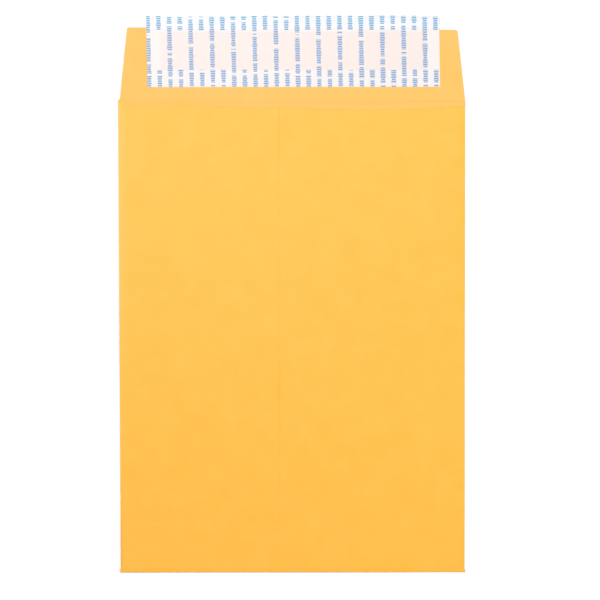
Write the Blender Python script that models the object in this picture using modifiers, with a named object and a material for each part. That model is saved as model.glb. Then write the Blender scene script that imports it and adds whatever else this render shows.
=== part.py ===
"""Open-end catalog envelope of kraft paper, lying on its front with its seal flap open.

Metres, +Z up. The origin is the centre of the pocket's underside, +Y points to the seal flap,
and the back of the envelope, with its seams, faces up.

The kraft sheet is made as the real one is: a flat die-cut blank is drawn first, with a middle
column (bottom flap, front and seal flap) and a side panel at its left and right. Then the side
panels are folded over the front, and the bottom flap over both of them.
"""

import math

import bmesh
import bpy
from mathutils import Matrix, Vector

# Paper, adhesive and glue
PAPER = 0.00016
LINER_PAPER = 0.00007
ADHESIVE = 0.00010
GLUE_FILM = 0.00005
CLEARANCE = 0.00005

# Pocket
BODY_WIDTH = 0.2286
BODY_LENGTH = 0.3112
SIDE_FOLD_GAP = 0.00014
POCKET_RISE = 0.0008
POCKET_RISE_RUN = 0.090

# Centre seam, measured across from the middle of the pocket
SEAM_X = -0.0082
SEAM_OVERLAP = 0.0172
SEAM_RAMP = 0.008
SEAM_EDGE_MARGIN = 0.001

# Throat: how far points of the back panels' top edges lie below the flap's crease
THROAT_LEFT_CORNER = -0.0013
THROAT_LEFT_SHOULDER = 0.0014
SHOULDER_WIDTH = 0.007
THROAT_SEAM = 0.0038
THROAT_RIGHT_DIP = 0.0055
THROAT_RIGHT_CORNER = 0.0030

# Bottom flap
BOTTOM_FLAP_HEIGHT = 0.0335
BOTTOM_FLAP_INSET = 0.0004
BOTTOM_NOTCH = 0.0040
CORNER_BULGE = 0.0005
BULGE_TAPER = 0.0012
SETTLE_RUN = 0.012

# Seal flap
FLAP_HEIGHT_LEFT = 0.0488
FLAP_HEIGHT_RIGHT = 0.0469
FLAP_BASE_INSET_LEFT = 0.0011
FLAP_BASE_INSET_RIGHT = -0.0004
FLAP_TIP_INSET_LEFT = 0.0062
FLAP_TIP_INSET_RIGHT = 0.0052
FLAP_SHOULDER = 0.0006
FLAP_CORNER_RADIUS = 0.0015
FLAP_LIFT = 0.0009

# Adhesive band and release liner, measured from the flap's edge and the middle of the pocket
LINER_WIDTH = 0.1926
LINER_HEIGHT = 0.0462
LINER_PAST_EDGE = 0.0074
LINER_OFFSET = 0.0011
LINER_END_SLANT = 0.014
ADHESIVE_HEIGHT = 0.0250
ADHESIVE_BELOW_EDGE = 0.0030
ADHESIVE_END_INSET = 0.009

# Glue lines
SEAM_GLUE_WIDTH = 0.010
SEAM_GLUE_END_INSET = 0.012
BOTTOM_GLUE_HEIGHT = 0.012
BOTTOM_GLUE_END_INSET = 0.008
BOTTOM_GLUE_EDGE_INSET = 0.005

# Fineness of the mesh
FOLD_STEPS = 8
RAMP_STEPS = 4
CORNER_STEPS = 3
CELL = 0.018
SHARP_ANGLE = math.radians(40)
TINY = 1e-6

# Places that follow from the sizes
SEAM_STEP = PAPER + GLUE_FILM + 2 * CLEARANCE
SIDE_RADIUS = (PAPER + SIDE_FOLD_GAP) / 2
BOTTOM_RADIUS = SIDE_RADIUS + SEAM_STEP
SIDE_CREASE = BODY_WIDTH / 2 - PAPER / 2 - SIDE_RADIUS
BOTTOM_EDGE = -BODY_LENGTH / 2
BOTTOM_CREASE = BOTTOM_EDGE + PAPER / 2 + BOTTOM_RADIUS
BOTTOM_NOTCH_Y = BOTTOM_EDGE + BOTTOM_NOTCH
BOTTOM_FLAP_TOP = BOTTOM_EDGE + BOTTOM_FLAP_HEIGHT
FLAP_CREASE = BODY_LENGTH / 2
FLAP_EDGE = FLAP_CREASE + FLAP_HEIGHT_LEFT
LEFT_CORNER = FLAP_CREASE - THROAT_LEFT_CORNER
RIGHT_CORNER = FLAP_CREASE - THROAT_RIGHT_CORNER
LEFT_PANEL_END = SEAM_X + SEAM_OVERLAP
FRONT_LEVEL = PAPER / 2
BOTTOM_FOLD_LEVEL = FRONT_LEVEL + 2 * BOTTOM_RADIUS


def smooth(value):
    """An S-curve from 0, at 0 and below, to 1, at 1 and above."""
    t = min(max(value, 0.0), 1.0)
    return t * t * (3 - 2 * t)


def mix(a, b, share):
    return a + (b - a) * share


def steps(low, high, count):
    """The places that divide the stretch from low to high into equal steps, both ends included."""
    return [mix(low, high, k / count) for k in range(count + 1)]


def cells(low, high):
    """As steps, each about CELL long."""
    return steps(low, high, max(2, round((high - low) / CELL)))


# Rows and columns that the folded layers share
PANEL_ROWS = cells(BOTTOM_NOTCH_Y, FLAP_CREASE)[1:-1]
LAP_RAMP = steps(LEFT_PANEL_END, LEFT_PANEL_END + SEAM_RAMP, RAMP_STEPS)
CLIMB = steps(SEAM_X - SEAM_EDGE_MARGIN - SEAM_RAMP, SEAM_X - SEAM_EDGE_MARGIN, RAMP_STEPS)
LEFT_COLUMNS = [SHOULDER_WIDTH / 2 - SIDE_CREASE, *cells(SHOULDER_WIDTH - SIDE_CREASE, SEAM_X)]
RIGHT_COLUMNS = [*LAP_RAMP, *cells(LAP_RAMP[-1], SIDE_CREASE)[1:-1]]
BOTTOM_COLUMNS = [*cells(-SIDE_CREASE, CLIMB[0])[1:-1], *CLIMB, *RIGHT_COLUMNS]


def pocket_rise(x, y):
    """How far the springy back of the pocket stands off the front, over what its folds hold."""
    across = math.cos(math.pi * x / BODY_WIDTH) ** 2
    return POCKET_RISE * across * smooth((y - BOTTOM_EDGE) / POCKET_RISE_RUN)


def past_lap(x):
    """1 over the lapped seam, and down to 0 past the covered end of the left panel."""
    return 1 - smooth((x - LEFT_PANEL_END) / SEAM_RAMP)


def before_lap(x):
    """0 over the left panel, and up to 1 just before the right panel's edge."""
    return smooth((x - SEAM_X + SEAM_EDGE_MARGIN) / SEAM_RAMP + 1)


def flap_level(x, y):
    """The front lies flat, and the opened seal flap springs up a little from its crease."""
    return FRONT_LEVEL + FLAP_LIFT * max(y - FLAP_CREASE, 0) / FLAP_HEIGHT_LEFT


def left_level(x, y):
    return flap_level(x, y) + 2 * SIDE_RADIUS + pocket_rise(x, y)


def right_level(x, y):
    return left_level(x, y) + SEAM_STEP * past_lap(x)


def bottom_flap_level(x, y):
    """The bottom flap lies on both back panels. At its fold it stands as high as over the lap."""
    settled = left_level(x, y) + SEAM_STEP * (1 + before_lap(x) * past_lap(x))
    left_to_settle = 1 - smooth((y - BOTTOM_CREASE) / SETTLE_RUN)
    return settled + max(BOTTOM_FOLD_LEVEL - settled, 0) * left_to_settle


def seam_glue_level(x, y):
    return left_level(x, y) + SEAM_STEP / 2


def bottom_glue_level(x, y):
    return bottom_flap_level(x, y) - SEAM_STEP / 2


def adhesive_level(x, y):
    return flap_level(x, y) + PAPER / 2 + CLEARANCE + ADHESIVE / 2


def liner_level(x, y):
    return adhesive_level(x, y) + ADHESIVE / 2 + CLEARANCE + LINER_PAPER / 2


def throat_left(x):
    """How far below the crease the left panel's top edge lies."""
    from_fold = x + SIDE_CREASE
    corner = mix(THROAT_LEFT_CORNER, THROAT_LEFT_SHOULDER, smooth(from_fold / SHOULDER_WIDTH))
    fall = THROAT_SEAM - THROAT_LEFT_SHOULDER
    return corner + fall * smooth(from_fold / (SIDE_CREASE + SEAM_X))


def throat_right(x):
    """How far below the crease the right panel's top edge lies."""
    share = (x - SEAM_X) / (SIDE_CREASE - SEAM_X)
    straight = mix(THROAT_SEAM, THROAT_RIGHT_CORNER, share)
    dip = THROAT_RIGHT_DIP - mix(THROAT_SEAM, THROAT_RIGHT_CORNER, 0.5)
    return straight + dip * math.sin(math.pi * share)


def unfolded_side(x, side):
    """Where a side panel's column, which lies at x once folded, is on the flat blank."""
    return side * (SIDE_CREASE + math.pi * SIDE_RADIUS + SIDE_CREASE) - x


def unfolded_bottom(y):
    """Where a bottom flap's row, which lies at y once folded, is on the flat blank."""
    return BOTTOM_CREASE - math.pi * BOTTOM_RADIUS + BOTTOM_CREASE - y


def clear_scene():
    for item in list(bpy.data.objects):
        bpy.data.objects.remove(item, do_unlink=True)


def linear(hex_colour):
    """The linear colour of an sRGB hex colour."""
    values = [int(hex_colour[k : k + 2], 16) / 255 for k in (0, 2, 4)]
    return [v / 12.92 if v <= 0.04045 else ((v + 0.055) / 1.055) ** 2.4 for v in values]


def make_material(name, hex_colour, roughness):
    material = bpy.data.materials.new(name)
    material.use_nodes = True
    shader = material.node_tree.nodes["Principled BSDF"]
    shader.inputs["Base Color"].default_value = (*linear(hex_colour), 1)
    shader.inputs["Roughness"].default_value = roughness
    shader.inputs["Metallic"].default_value = 0
    return material


def make_sheet(name, mesh, thickness, material, collection):
    """An object from an open middle surface, which Solidify gives its thickness."""
    data = bpy.data.meshes.new(name)
    mesh.to_mesh(data)
    mesh.free()
    data.materials.append(material)
    data.shade_smooth()
    data.set_sharp_from_angle(angle=SHARP_ANGLE)
    sheet = bpy.data.objects.new(name, data)
    collection.objects.link(sheet)
    solidify = sheet.modifiers.new("paper thickness", "SOLIDIFY")
    solidify.thickness = thickness
    solidify.offset = 0
    solidify.use_even_offset = True


def add_rectangle(mesh, low, high):
    """One flat face between two corners: a unit square, stretched and moved there."""
    middle = Matrix.Translation(((low[0] + high[0]) / 2, (low[1] + high[1]) / 2, 0))
    size = Matrix.Diagonal((high[0] - low[0], high[1] - low[1], 1, 1))
    bmesh.ops.create_grid(mesh, x_segments=1, y_segments=1, size=1 / 2, matrix=middle @ size)


def anywhere(middle):
    return True


def in_column(middle):
    return abs(middle.x) < SIDE_CREASE


def cut(mesh, axis, places, wanted=anywhere):
    """Cuts the faces whose middle is wanted along straight lines across an axis, 0 for X, 1 for Y."""
    normal = Vector((1 - axis, axis, 0))
    for place in places:
        faces = [face for face in mesh.faces if wanted(face.calc_center_median())]
        edges = {edge for face in faces for edge in face.edges}
        corners = {corner for face in faces for corner in face.verts}
        bmesh.ops.bisect_plane(
            mesh,
            geom=[*faces, *edges, *corners],
            dist=TINY,
            plane_co=normal * place,
            plane_no=normal,
        )


def flap_edge(y, corner, base_inset, tip_inset, height):
    """Half-width of the seal flap at y."""
    share = (y - corner) / (FLAP_CREASE + height - corner)
    return BODY_WIDTH / 2 - mix(base_inset, tip_inset, share)


def outline(y, side):
    """Half-width of the blank's middle column at one of its rows."""
    if side < 0 and y > LEFT_CORNER + TINY:
        sizes = (LEFT_CORNER, FLAP_BASE_INSET_LEFT, FLAP_TIP_INSET_LEFT, FLAP_HEIGHT_LEFT)
        return flap_edge(y, *sizes)
    if side > 0 and y > RIGHT_CORNER + TINY:
        sizes = (RIGHT_CORNER, FLAP_BASE_INSET_RIGHT, FLAP_TIP_INSET_RIGHT, FLAP_HEIGHT_RIGHT)
        return flap_edge(y, *sizes)
    if y > BOTTOM_NOTCH_Y - TINY:
        return SIDE_CREASE
    if y < unfolded_bottom(BOTTOM_NOTCH_Y) + TINY:
        return BODY_WIDTH / 2 - BOTTOM_FLAP_INSET
    return BODY_WIDTH / 2 + CORNER_BULGE


def draw_middle_column(mesh):
    """Bottom flap, front and seal flap in one strip, with the rows that the bottom needs."""
    low = (-SIDE_CREASE, unfolded_bottom(BOTTOM_FLAP_TOP))
    add_rectangle(mesh, low, (SIDE_CREASE, FLAP_EDGE))
    bulge = BOTTOM_NOTCH_Y - BULGE_TAPER
    rows = [BOTTOM_NOTCH_Y, bulge, BOTTOM_CREASE, unfolded_bottom(bulge), unfolded_bottom(BOTTOM_NOTCH_Y)]
    cut(mesh, 1, rows, in_column)


def pull_side_panel(mesh, side, corner, end, throat, columns):
    """Extrudes a side panel from the column's edge, cuts its columns and rows, trims its throat."""
    cut(mesh, 1, [corner], in_column)
    edges = [
        edge
        for edge in mesh.edges
        if all(abs(v.co.x - side * SIDE_CREASE) < TINY for v in edge.verts)
        and all(BOTTOM_NOTCH_Y - TINY < v.co.y < corner + TINY for v in edge.verts)
    ]
    made = bmesh.ops.extrude_edge_only(mesh, edges=edges)["geom"]
    outer = [item for item in made if isinstance(item, bmesh.types.BMVert)]
    width = side * unfolded_side(end, side) - SIDE_CREASE
    bmesh.ops.translate(mesh, verts=outer, vec=(side * width, 0, 0))

    def in_panel(middle):
        return side * middle.x > SIDE_CREASE

    turns = [side * (SIDE_CREASE + s) for s in steps(0, math.pi * SIDE_RADIUS, FOLD_STEPS)]
    cut(mesh, 0, turns[1:], in_panel)
    cut(mesh, 0, [unfolded_side(x, side) for x in columns], in_panel)
    cut(mesh, 1, PANEL_ROWS, in_panel)
    for corner_vertex in mesh.verts:
        past_fold = side * corner_vertex.co.x - SIDE_CREASE - math.pi * SIDE_RADIUS
        if past_fold > -TINY and abs(corner_vertex.co.y - corner) < TINY:
            corner_vertex.co.y = FLAP_CREASE - throat(side * (SIDE_CREASE - past_fold))


def shape_outline(mesh):
    """Gives the middle column's edges their outline, and the seal flap its tip and round corners."""
    tips = []
    for corner in mesh.verts:
        side = math.copysign(1, corner.co.x)
        if abs(abs(corner.co.x) - SIDE_CREASE) > TINY:
            continue
        at_tip = abs(corner.co.y - FLAP_EDGE) < TINY
        if at_tip and side > 0:
            corner.co.y = FLAP_CREASE + FLAP_HEIGHT_RIGHT
        corner.co.x = side * outline(corner.co.y, side)
        if at_tip:
            tips.append(corner)
    bmesh.ops.bevel(
        mesh,
        geom=tips,
        offset=FLAP_CORNER_RADIUS,
        segments=CORNER_STEPS,
        profile=0.5,
        affect="VERTICES",
    )


def fold_point(point, axis, side, crease, radius):
    """Carries a point of the flat blank round a crease by a half turn. True if it ends past the turn."""
    past = side * (point[axis] - crease)
    turn = min(past / radius, math.pi)
    beyond = past - math.pi * radius
    point[axis] = crease + side * (radius * math.sin(turn) - max(beyond, 0))
    point.z = flap_level(point.x, point.y) + radius * (1 - math.cos(turn))
    return beyond > TINY


def fold_blank(mesh):
    """Folds both side panels over the front, then the bottom flap over them."""
    for corner in mesh.verts:
        place = corner.co
        on_left = place.x < -SIDE_CREASE - TINY and place.y < LEFT_CORNER + TINY
        on_right = place.x > SIDE_CREASE + TINY and place.y < RIGHT_CORNER + TINY
        if place.y < BOTTOM_CREASE - TINY:
            if fold_point(place, 1, -1, BOTTOM_CREASE, BOTTOM_RADIUS):
                place.z = bottom_flap_level(place.x, place.y)
        elif on_left and place.y > BOTTOM_NOTCH_Y - TINY:
            if fold_point(place, 0, -1, -SIDE_CREASE, SIDE_RADIUS):
                place.z = left_level(place.x, place.y)
        elif on_right and place.y > BOTTOM_NOTCH_Y - TINY:
            if fold_point(place, 0, 1, SIDE_CREASE, SIDE_RADIUS):
                place.z = right_level(place.x, place.y)
        else:
            place.z = flap_level(place.x, place.y)


def make_envelope_sheet(material, collection):
    mesh = bmesh.new()
    draw_middle_column(mesh)
    pull_side_panel(mesh, -1, LEFT_CORNER, LEFT_PANEL_END, throat_left, LEFT_COLUMNS)
    pull_side_panel(mesh, 1, RIGHT_CORNER, SEAM_X, throat_right, RIGHT_COLUMNS)
    shoulders = [RIGHT_CORNER + FLAP_SHOULDER, FLAP_CREASE, LEFT_CORNER + FLAP_SHOULDER]
    cut(mesh, 1, shoulders, in_column)
    shape_outline(mesh)

    turns = [BOTTOM_CREASE - s for s in steps(0, math.pi * BOTTOM_RADIUS, FOLD_STEPS)]
    flap_rows = [*steps(BOTTOM_CREASE, BOTTOM_CREASE + SETTLE_RUN, RAMP_STEPS)[1:], *PANEL_ROWS]
    cut(mesh, 1, turns[1:], lambda middle: middle.y < BOTTOM_CREASE)
    cut(mesh, 1, [unfolded_bottom(y) for y in flap_rows], lambda middle: middle.y < turns[-1])
    cut(mesh, 0, BOTTOM_COLUMNS, lambda middle: middle.y < turns[-1])

    fold_blank(mesh)
    make_sheet("envelope_sheet", mesh, PAPER, material, collection)


def draw_film(low, high, columns=(), rows=()):
    """The flat middle surface of a layer, cut like the layers that it lies between."""
    mesh = bmesh.new()
    add_rectangle(mesh, low, high)
    cut(mesh, 0, [x for x in columns if low[0] < x < high[0]])
    cut(mesh, 1, [y for y in rows if low[1] < y < high[1]])
    return mesh


def lay(mesh, level):
    """Lays a flat layer at the height that level gives for each of its points."""
    for corner in mesh.verts:
        corner.co.z = level(corner.co.x, corner.co.y)


def make_adhesive_strip(material, collection):
    half_width = LINER_WIDTH / 2 - ADHESIVE_END_INSET
    top = FLAP_EDGE - ADHESIVE_BELOW_EDGE
    low = (LINER_OFFSET - half_width, top - ADHESIVE_HEIGHT)
    mesh = draw_film(low, (LINER_OFFSET + half_width, top))
    lay(mesh, adhesive_level)
    make_sheet("adhesive_strip", mesh, ADHESIVE, material, collection)


def make_release_liner(material, collection):
    """A strip with straight long edges, whose ends are cut a little aslant."""
    top = FLAP_EDGE + LINER_PAST_EDGE
    low = (LINER_OFFSET - LINER_WIDTH / 2, top - LINER_HEIGHT)
    mesh = draw_film(low, (LINER_OFFSET + LINER_WIDTH / 2, top))
    for corner in mesh.verts:
        corner.co.x -= LINER_END_SLANT * (corner.co.y - top + LINER_HEIGHT / 2)
    lay(mesh, liner_level)
    make_sheet("release_liner", mesh, LINER_PAPER, material, collection)


def make_seam_glue(material, collection):
    margin = (SEAM_OVERLAP - SEAM_GLUE_WIDTH) / 2
    low = (SEAM_X + margin, BOTTOM_NOTCH_Y + SEAM_GLUE_END_INSET)
    high = (LEFT_PANEL_END - margin, FLAP_CREASE - THROAT_SEAM - SEAM_GLUE_END_INSET)
    mesh = draw_film(low, high, rows=PANEL_ROWS)
    lay(mesh, seam_glue_level)
    make_sheet("centre_seam_glue", mesh, GLUE_FILM, material, collection)


def make_bottom_glue(material, collection):
    half_width = BODY_WIDTH / 2 - BOTTOM_GLUE_END_INSET
    top = BOTTOM_FLAP_TOP - BOTTOM_GLUE_EDGE_INSET
    low = (-half_width, top - BOTTOM_GLUE_HEIGHT)
    mesh = draw_film(low, (half_width, top), BOTTOM_COLUMNS, PANEL_ROWS)
    lay(mesh, bottom_glue_level)
    make_sheet("bottom_flap_glue", mesh, GLUE_FILM, material, collection)


def main():
    clear_scene()
    collection = bpy.data.collections.new("catalog_envelope")
    bpy.context.scene.collection.children.link(collection)
    kraft = make_material("golden kraft paper", "FDC75B", 0.75)
    adhesive = make_material("pressure-sensitive adhesive", "F4E3D2", 0.35)
    liner_paper = make_material("white release paper", "F7F2F0", 0.45)
    gum = make_material("dried seam gum", "E8D9B0", 0.50)

    make_envelope_sheet(kraft, collection)
    make_adhesive_strip(adhesive, collection)
    make_release_liner(liner_paper, collection)
    make_seam_glue(gum, collection)
    make_bottom_glue(gum, collection)


main()
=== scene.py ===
# %% [markdown]
# # A catalog envelope of golden kraft paper
#
# The envelope lies on its front, empty and flat, with its seamed back towards us and its seal flap
# open. It is one sheet of paper folded four times, and on the flap there is a band of adhesive
# under a white release liner. Paper this thin has hardly any form of its own, so what makes it look
# real is small: how the layers step over each other, how the sheet springs at its folds, and how
# the two faces of the kraft take light.
#
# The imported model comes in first. It fixes every size and place below.

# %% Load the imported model
import math

import bpy
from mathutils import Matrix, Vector


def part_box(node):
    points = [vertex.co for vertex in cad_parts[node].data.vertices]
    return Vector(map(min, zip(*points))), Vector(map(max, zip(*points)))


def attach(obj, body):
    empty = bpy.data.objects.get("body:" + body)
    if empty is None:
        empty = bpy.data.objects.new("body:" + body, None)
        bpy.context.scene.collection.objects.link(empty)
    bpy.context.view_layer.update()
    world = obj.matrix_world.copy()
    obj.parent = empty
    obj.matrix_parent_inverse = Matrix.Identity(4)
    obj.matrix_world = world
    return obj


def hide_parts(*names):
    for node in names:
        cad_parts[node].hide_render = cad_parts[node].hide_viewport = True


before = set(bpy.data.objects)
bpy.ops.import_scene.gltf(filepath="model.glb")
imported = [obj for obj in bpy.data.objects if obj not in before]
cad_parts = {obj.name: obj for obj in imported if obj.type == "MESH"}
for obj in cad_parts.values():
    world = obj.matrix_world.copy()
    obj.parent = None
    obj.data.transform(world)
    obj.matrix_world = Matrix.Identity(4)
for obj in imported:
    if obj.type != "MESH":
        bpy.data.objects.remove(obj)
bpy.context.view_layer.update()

MM = 0.001
SHEET_LOW, SHEET_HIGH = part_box("envelope_sheet")
LINER_LOW, LINER_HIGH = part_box("release_liner")
BAND_LOW, BAND_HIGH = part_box("adhesive_strip")
SEAM_GUM_LOW, SEAM_GUM_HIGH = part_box("centre_seam_glue")
FLAP_GUM_LOW, FLAP_GUM_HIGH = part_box("bottom_flap_glue")

# %% [markdown]
# ## The sizes of the sheet
#
# Only a few sizes are set here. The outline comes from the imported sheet, and the seam and the
# bottom flap come from the gum lines that hold them. Heights are those of the middle of the paper,
# because the sheet is modelled as a surface without thickness, and Solidify adds it at the end.

# %% Thickness of the paper, and the height of each layer
PAPER = 0.16 * MM
GUM = 0.02 * MM
GUM_GAP = 0.05 * MM
LAYER = PAPER + GUM_GAP
FOLD_RADIUS = 0.15 * MM

FRONT = PAPER / 2
LEFT_BACK = FRONT + 2 * FOLD_RADIUS
RIGHT_BACK = LEFT_BACK + LAYER
BOTTOM_FLAP = RIGHT_BACK + LAYER
print("layers, mm up:", [round(z / MM, 2) for z in (FRONT, LEFT_BACK, RIGHT_BACK, BOTTOM_FLAP)])

# %% Outline of the pocket
CORNER_OUT = 0.5 * MM
HALF_WIDTH = -SHEET_LOW.x - CORNER_OUT
BOTTOM = SHEET_LOW.y
CREASE = -BOTTOM
FLAP_EDGE = SHEET_HIGH.y
SIDE_CREASE = HALF_WIDTH - PAPER / 2 - FOLD_RADIUS
BOTTOM_RADIUS = (BOTTOM_FLAP - FRONT) / 2
BOTTOM_CREASE = BOTTOM + PAPER / 2 + BOTTOM_RADIUS
print("pocket, mm:", round(2 * HALF_WIDTH / MM, 1), "x", round((CREASE - BOTTOM) / MM, 1))

# %% Edges of the back panels and of the bottom flap
SEAM_MARGIN = 3.6 * MM
FLAP_MARGIN = 5 * MM
SEAM = SEAM_GUM_LOW.x - SEAM_MARGIN
LAP_END = SEAM_GUM_HIGH.x + SEAM_MARGIN
BOTTOM_FLAP_TOP = FLAP_GUM_HIGH.y + FLAP_MARGIN
NOTCH = BOTTOM + 4 * MM
LEFT_CORNER = CREASE + 1.3 * MM
RIGHT_CORNER = CREASE - 3 * MM
print("lap at the seam, mm:", round((LAP_END - SEAM) / MM, 1))

# %% [markdown]
# ## Hand tools
#
# In edit mode we would click the edges that we want. In a script we say where they lie: this
# helper selects all corners of the mesh that pass a test, and with them the edges and faces that
# they bound. Everything else in the modelling is an ordinary mesh operator.

# %% Select by place
TINY = 0.001 * MM


def deselect_all():
    for item in bpy.context.selected_objects:
        item.select_set(False)


def activate(piece):
    deselect_all()
    piece.select_set(True)
    bpy.context.view_layer.objects.active = piece


def select(piece, wanted):
    """Selects the corners whose place is wanted, with the edges and faces that they bound."""
    bpy.ops.object.mode_set(mode="EDIT")
    bpy.ops.mesh.select_mode(type="VERT")
    bpy.ops.mesh.select_all(action="DESELECT")
    bpy.ops.object.mode_set(mode="OBJECT")
    for corner in piece.data.vertices:
        corner.select = wanted(corner.co)
    bpy.ops.object.mode_set(mode="EDIT")


def near(value, place):
    return abs(value - place) < TINY


print("places count as the same within", TINY / MM, "mm")


# %% Start a flat layer, cut it, move its corners
def flat_layer(name, low, high, height):
    """A flat rectangle between two corners, open in edit mode, with its object at the origin."""
    deselect_all()
    bpy.ops.mesh.primitive_plane_add(size=1, location=(0, 0, 0))
    piece = bpy.context.object
    piece.name = name
    piece.data.name = name
    bpy.ops.object.mode_set(mode="EDIT")
    size = (high[0] - low[0], high[1] - low[1], 1)
    middle = ((low[0] + high[0]) / 2, (low[1] + high[1]) / 2, height)
    bpy.ops.transform.resize(value=size, center_override=(0, 0, 0))
    bpy.ops.transform.translate(value=middle)
    print(name, "mm:", [round(side / MM, 1) for side in size[:2]])
    return piece


def cut(piece, axis, places, wanted=lambda place: True):
    """Cuts the wanted faces along straight lines across an axis, 0 for X and 1 for Y."""
    normal = Vector((1 - axis, axis, 0))
    for place in places:
        select(piece, wanted)
        bpy.ops.mesh.bisect(plane_co=normal * place, plane_no=normal)


def move(piece, wanted, by):
    select(piece, wanted)
    bpy.ops.transform.translate(value=by)


# %% [markdown]
# ## Folding the sheet
#
# The real envelope starts as a flat blank, and a machine folds the two sides in, laps and gums
# them, and folds the bottom flap up over both. Separate panels would be easy to place, but each
# fold would be an open joint between two of them, so we draw one sheet on from edge to edge. The
# front panel and the seal flap are one plane. Spin carries an edge through a half turn, which is
# just what a fold is, and an extrusion from the end of that turn draws the next panel. The layers
# start a little apart, so that each can still be found by its height.

# %% The front panel with the seal flap, and how it is folded
FOLD_STEPS = 8


def in_front(place):
    return near(place.z, FRONT)


def fold(piece, wanted, centre, axis, run):
    """Turns an edge half round a fold, and draws the panel that follows from the turn's end."""
    select(piece, wanted)
    bpy.ops.mesh.spin(steps=FOLD_STEPS, angle=math.pi, center=centre, axis=axis)
    for part in run:
        bpy.ops.mesh.extrude_region_move(TRANSFORM_OT_translate={"value": part})
    bpy.ops.object.mode_set(mode="OBJECT")
    print("folded sheet:", len(piece.data.vertices), "corners")


sheet = flat_layer("folded_kraft_sheet", (-SIDE_CREASE, BOTTOM_CREASE), (SIDE_CREASE, FLAP_EDGE), FRONT)
cut(sheet, 1, [NOTCH, LEFT_CORNER])

# %% The left side, folded in flat
fold(
    sheet,
    lambda place: near(place.x, -SIDE_CREASE) and NOTCH - TINY < place.y < LEFT_CORNER + TINY,
    centre=(-SIDE_CREASE, 0, FRONT + FOLD_RADIUS),
    axis=(0, -1, 0),
    run=[(SIDE_CREASE + LAP_END, 0, 0)],
)

# %% The right side, folded in and up a short ramp onto the left one
RAMP = 8 * MM
RAMP_STEPS = 4


def smooth(value):
    """An S-curve from 0, at 0 and below, to 1, at 1 and above."""
    t = min(max(value, 0), 1)
    return t * t * (3 - 2 * t)


cut(sheet, 1, [RIGHT_CORNER], in_front)
climb = [
    (-RAMP / RAMP_STEPS, 0, LAYER * (smooth((k + 1) / RAMP_STEPS) - smooth(k / RAMP_STEPS)))
    for k in range(RAMP_STEPS)
]
fold(
    sheet,
    lambda place: near(place.x, SIDE_CREASE) and NOTCH - TINY < place.y < RIGHT_CORNER + TINY,
    centre=(SIDE_CREASE, 0, FRONT + FOLD_RADIUS),
    axis=(0, 1, 0),
    run=[(LAP_END + RAMP - SIDE_CREASE, 0, 0), *climb, (SEAM - LAP_END, 0, 0)],
)

# %% The bottom flap, folded up over both panels
fold(
    sheet,
    lambda place: near(place.y, BOTTOM_CREASE),
    centre=(0, BOTTOM_CREASE, FRONT + BOTTOM_RADIUS),
    axis=(1, 0, 0),
    run=[(0, NOTCH - BOTTOM_CREASE, 0), (0, BOTTOM_FLAP_TOP - NOTCH, 0)],
)

# %% [markdown]
# ## The die-cut outline
#
# So far every edge is straight. The real blank is cut by a steel rule die that is nudged here and
# there, and a sheet never folds quite square, so the seal flap tapers unevenly, its base stands in
# on the left and out on the right, the bottom corners show a sliver past the folds, and the back
# panels' top edges, the throat, run in a shallow curve. A Boolean with a cutter could trim such an
# outline, but moving a corner or a row of corners keeps each nudge a plain size.

# %% Taper the seal flap
SHOULDER = 0.6 * MM
FLAP_BASE_LEFT = HALF_WIDTH - 1.1 * MM
FLAP_TIP_LEFT = HALF_WIDTH - 6.2 * MM
FLAP_BASE_RIGHT = HALF_WIDTH + 0.4 * MM
FLAP_TIP_RIGHT = HALF_WIDTH - 5.2 * MM


def flap_half_width(y, corner, base, tip):
    return base + (tip - base) * (y - corner) / (FLAP_EDGE - corner)


def set_side(side, wanted, half_width):
    """Moves the wanted corners of one side, -1 or 1, to their place across."""
    move(
        sheet,
        lambda place: near(place.x, side * SIDE_CREASE) and wanted(place),
        (side * (half_width - SIDE_CREASE), 0, 0),
    )


cut(sheet, 1, [CREASE, LEFT_CORNER + SHOULDER, RIGHT_CORNER + SHOULDER], in_front)
for y in (LEFT_CORNER + SHOULDER, FLAP_EDGE):
    half_width = flap_half_width(y, LEFT_CORNER, FLAP_BASE_LEFT, FLAP_TIP_LEFT)
    set_side(-1, lambda place: near(place.y, y) and in_front(place), half_width)
for y in (RIGHT_CORNER + SHOULDER, CREASE, LEFT_CORNER, LEFT_CORNER + SHOULDER, FLAP_EDGE):
    half_width = flap_half_width(y, RIGHT_CORNER, FLAP_BASE_RIGHT, FLAP_TIP_RIGHT)
    set_side(1, lambda place: near(place.y, y) and in_front(place), half_width)
print("flap tip, mm:", round((FLAP_TIP_LEFT + FLAP_TIP_RIGHT) / MM, 1), "wide")

# %% Slant the flap's edge, set the bottom corners, round the flap's tips
FLAP_SLOPE = 1.9 * MM
BOTTOM_FLAP_INSET = {-1: 1.1 * MM, 1: 1.4 * MM}
TIP_ROUNDING = 1.2 * MM
TIP_SEGMENTS = 5
move(sheet, lambda place: place.x > 0 and near(place.y, FLAP_EDGE), (0, -FLAP_SLOPE, 0))
for side, inset in BOTTOM_FLAP_INSET.items():
    set_side(side, lambda place: place.y < BOTTOM_CREASE + TINY, HALF_WIDTH + CORNER_OUT)
    set_side(
        side,
        lambda place: near(place.z, BOTTOM_FLAP) and place.y > NOTCH - TINY,
        HALF_WIDTH - inset,
    )
select(sheet, lambda place: place.y > FLAP_EDGE - FLAP_SLOPE - TINY)
bpy.ops.mesh.bevel(affect="VERTICES", offset=TIP_ROUNDING, segments=TIP_SEGMENTS)
print("flap edge drops", round(FLAP_SLOPE / MM, 1), "mm to the right")

# %% [markdown]
# ## Cells for the curves to come
#
# Paper bends in long, shallow curves, so the flat faces are cut into cells of a few millimetres.
# Subdivide would cut each face by itself. Instead all layers are cut along the same lines: whatever
# height they are given later, each layer then follows the one below it exactly, and none can poke
# through.

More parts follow.
